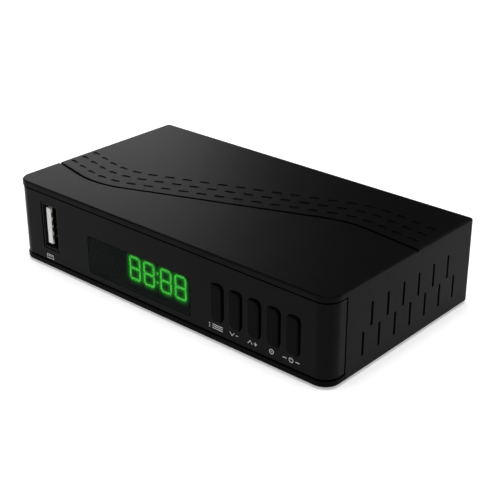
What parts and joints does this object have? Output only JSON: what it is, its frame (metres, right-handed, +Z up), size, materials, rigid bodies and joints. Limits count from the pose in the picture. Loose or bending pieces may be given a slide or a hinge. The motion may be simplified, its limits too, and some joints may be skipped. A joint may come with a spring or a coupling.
{
  "type": "terrestrial tv receiver",
  "caption": "Flat black plastic television receiver with a glossy front, lit digits, push keys, a front socket and rear aerial, video, sound and power connectors.",
  "frame": {"origin": "middle of the overall outline, keys and rear connectors included, on the surface that the feet stand on", "axes": "+X to the right seen from the front, +Y from the front to the rear, +Z up"},
  "size_m": [0.116, 0.0718, 0.0256],
  "materials": {
    "case_plastic": "satin",
    "front_gloss": "gloss",
    "key_plastic": "gloss",
    "window_smoke": "gloss",
    "black_plastic": "matte",
    "white_plastic": "matte",
    "yellow_plastic": "gloss",
    "red_plastic": "gloss",
    "lit_green": "lit",
    "board_green": "satin",
    "tinned_steel": "bright",
    "steel": "satin",
    "gilt": "bright",
    "anodised": "anodised black",
    "sleeve_blue": "gloss",
    "foot_rubber": "matte"
  },
  "bodies": {
    "case": {"base_tray": "case_plastic", "top_cover": "case_plastic", "front_panel": "front_gloss", "rear_panel": "case_plastic", "display_window": "window_smoke", "switch_bodies": "steel", "front_board": "board_green", "display_block": "black_plastic", "display_segments": "lit_green", "infrared_receiver": "black_plastic", "link_header": "black_plastic", "main_board": "board_green", "usb_shell": "tinned_steel", "usb_tongue": "white_plastic", "usb_contacts": "gilt", "tuner_frame": "tinned_steel", "tuner_lid": "tinned_steel", "antenna_in_barrel": "tinned_steel", "antenna_in_insulator": "white_plastic", "antenna_in_contact": "gilt", "antenna_out_barrel": "tinned_steel", "antenna_out_insulator": "white_plastic", "antenna_out_pin": "gilt", "hdmi_shell": "tinned_steel", "hdmi_tongue": "black_plastic", "av_block": "black_plastic", "video_barrel": "tinned_steel", "left_sound_barrel": "tinned_steel", "right_sound_barrel": "tinned_steel", "video_insulator": "yellow_plastic", "left_sound_insulator": "white_plastic", "right_sound_insulator": "red_plastic", "av_contacts": "gilt", "power_inlet": "black_plastic", "power_inlet_pin": "tinned_steel", "main_chip": "black_plastic", "heat_sink": "anodised", "memory_chips": "black_plastic", "power_coils": "black_plastic", "capacitors": "sleeve_blue", "crystal_can": "tinned_steel", "case_screws": "steel", "board_screws": "steel", "feet": "foot_rubber"},
    "menu_button": {"menu_key": "key_plastic", "menu_plunger": "white_plastic"},
    "channel_down_button": {"channel_down_key": "key_plastic", "channel_down_plunger": "white_plastic"},
    "channel_up_button": {"channel_up_key": "key_plastic", "channel_up_plunger": "white_plastic"},
    "select_button": {"select_key": "key_plastic", "select_plunger": "white_plastic"},
    "power_button": {"power_key": "key_plastic", "power_plunger": "white_plastic"}
  },
  "joints": [
    {"name": "menu_press", "type": "slide", "parent": "case", "child": "menu_button", "axis": [0, 1, 0], "range_m": [0, 0.0005], "stiffness_N_per_m": 1000, "springref_m": -0.0005},
    {"name": "channel_down_press", "type": "slide", "parent": "case", "child": "channel_down_button", "axis": [0, 1, 0], "range_m": [0, 0.0005], "stiffness_N_per_m": 1000, "springref_m": -0.0005},
    {"name": "channel_up_press", "type": "slide", "parent": "case", "child": "channel_up_button", "axis": [0, 1, 0], "range_m": [0, 0.0005], "stiffness_N_per_m": 1000, "springref_m": -0.0005},
    {"name": "select_press", "type": "slide", "parent": "case", "child": "select_button", "axis": [0, 1, 0], "range_m": [0, 0.0005], "stiffness_N_per_m": 1000, "springref_m": -0.0005},
    {"name": "power_press", "type": "slide", "parent": "case", "child": "power_button", "axis": [0, 1, 0], "range_m": [0, 0.0005], "stiffness_N_per_m": 1000, "springref_m": -0.0005}
  ]
}
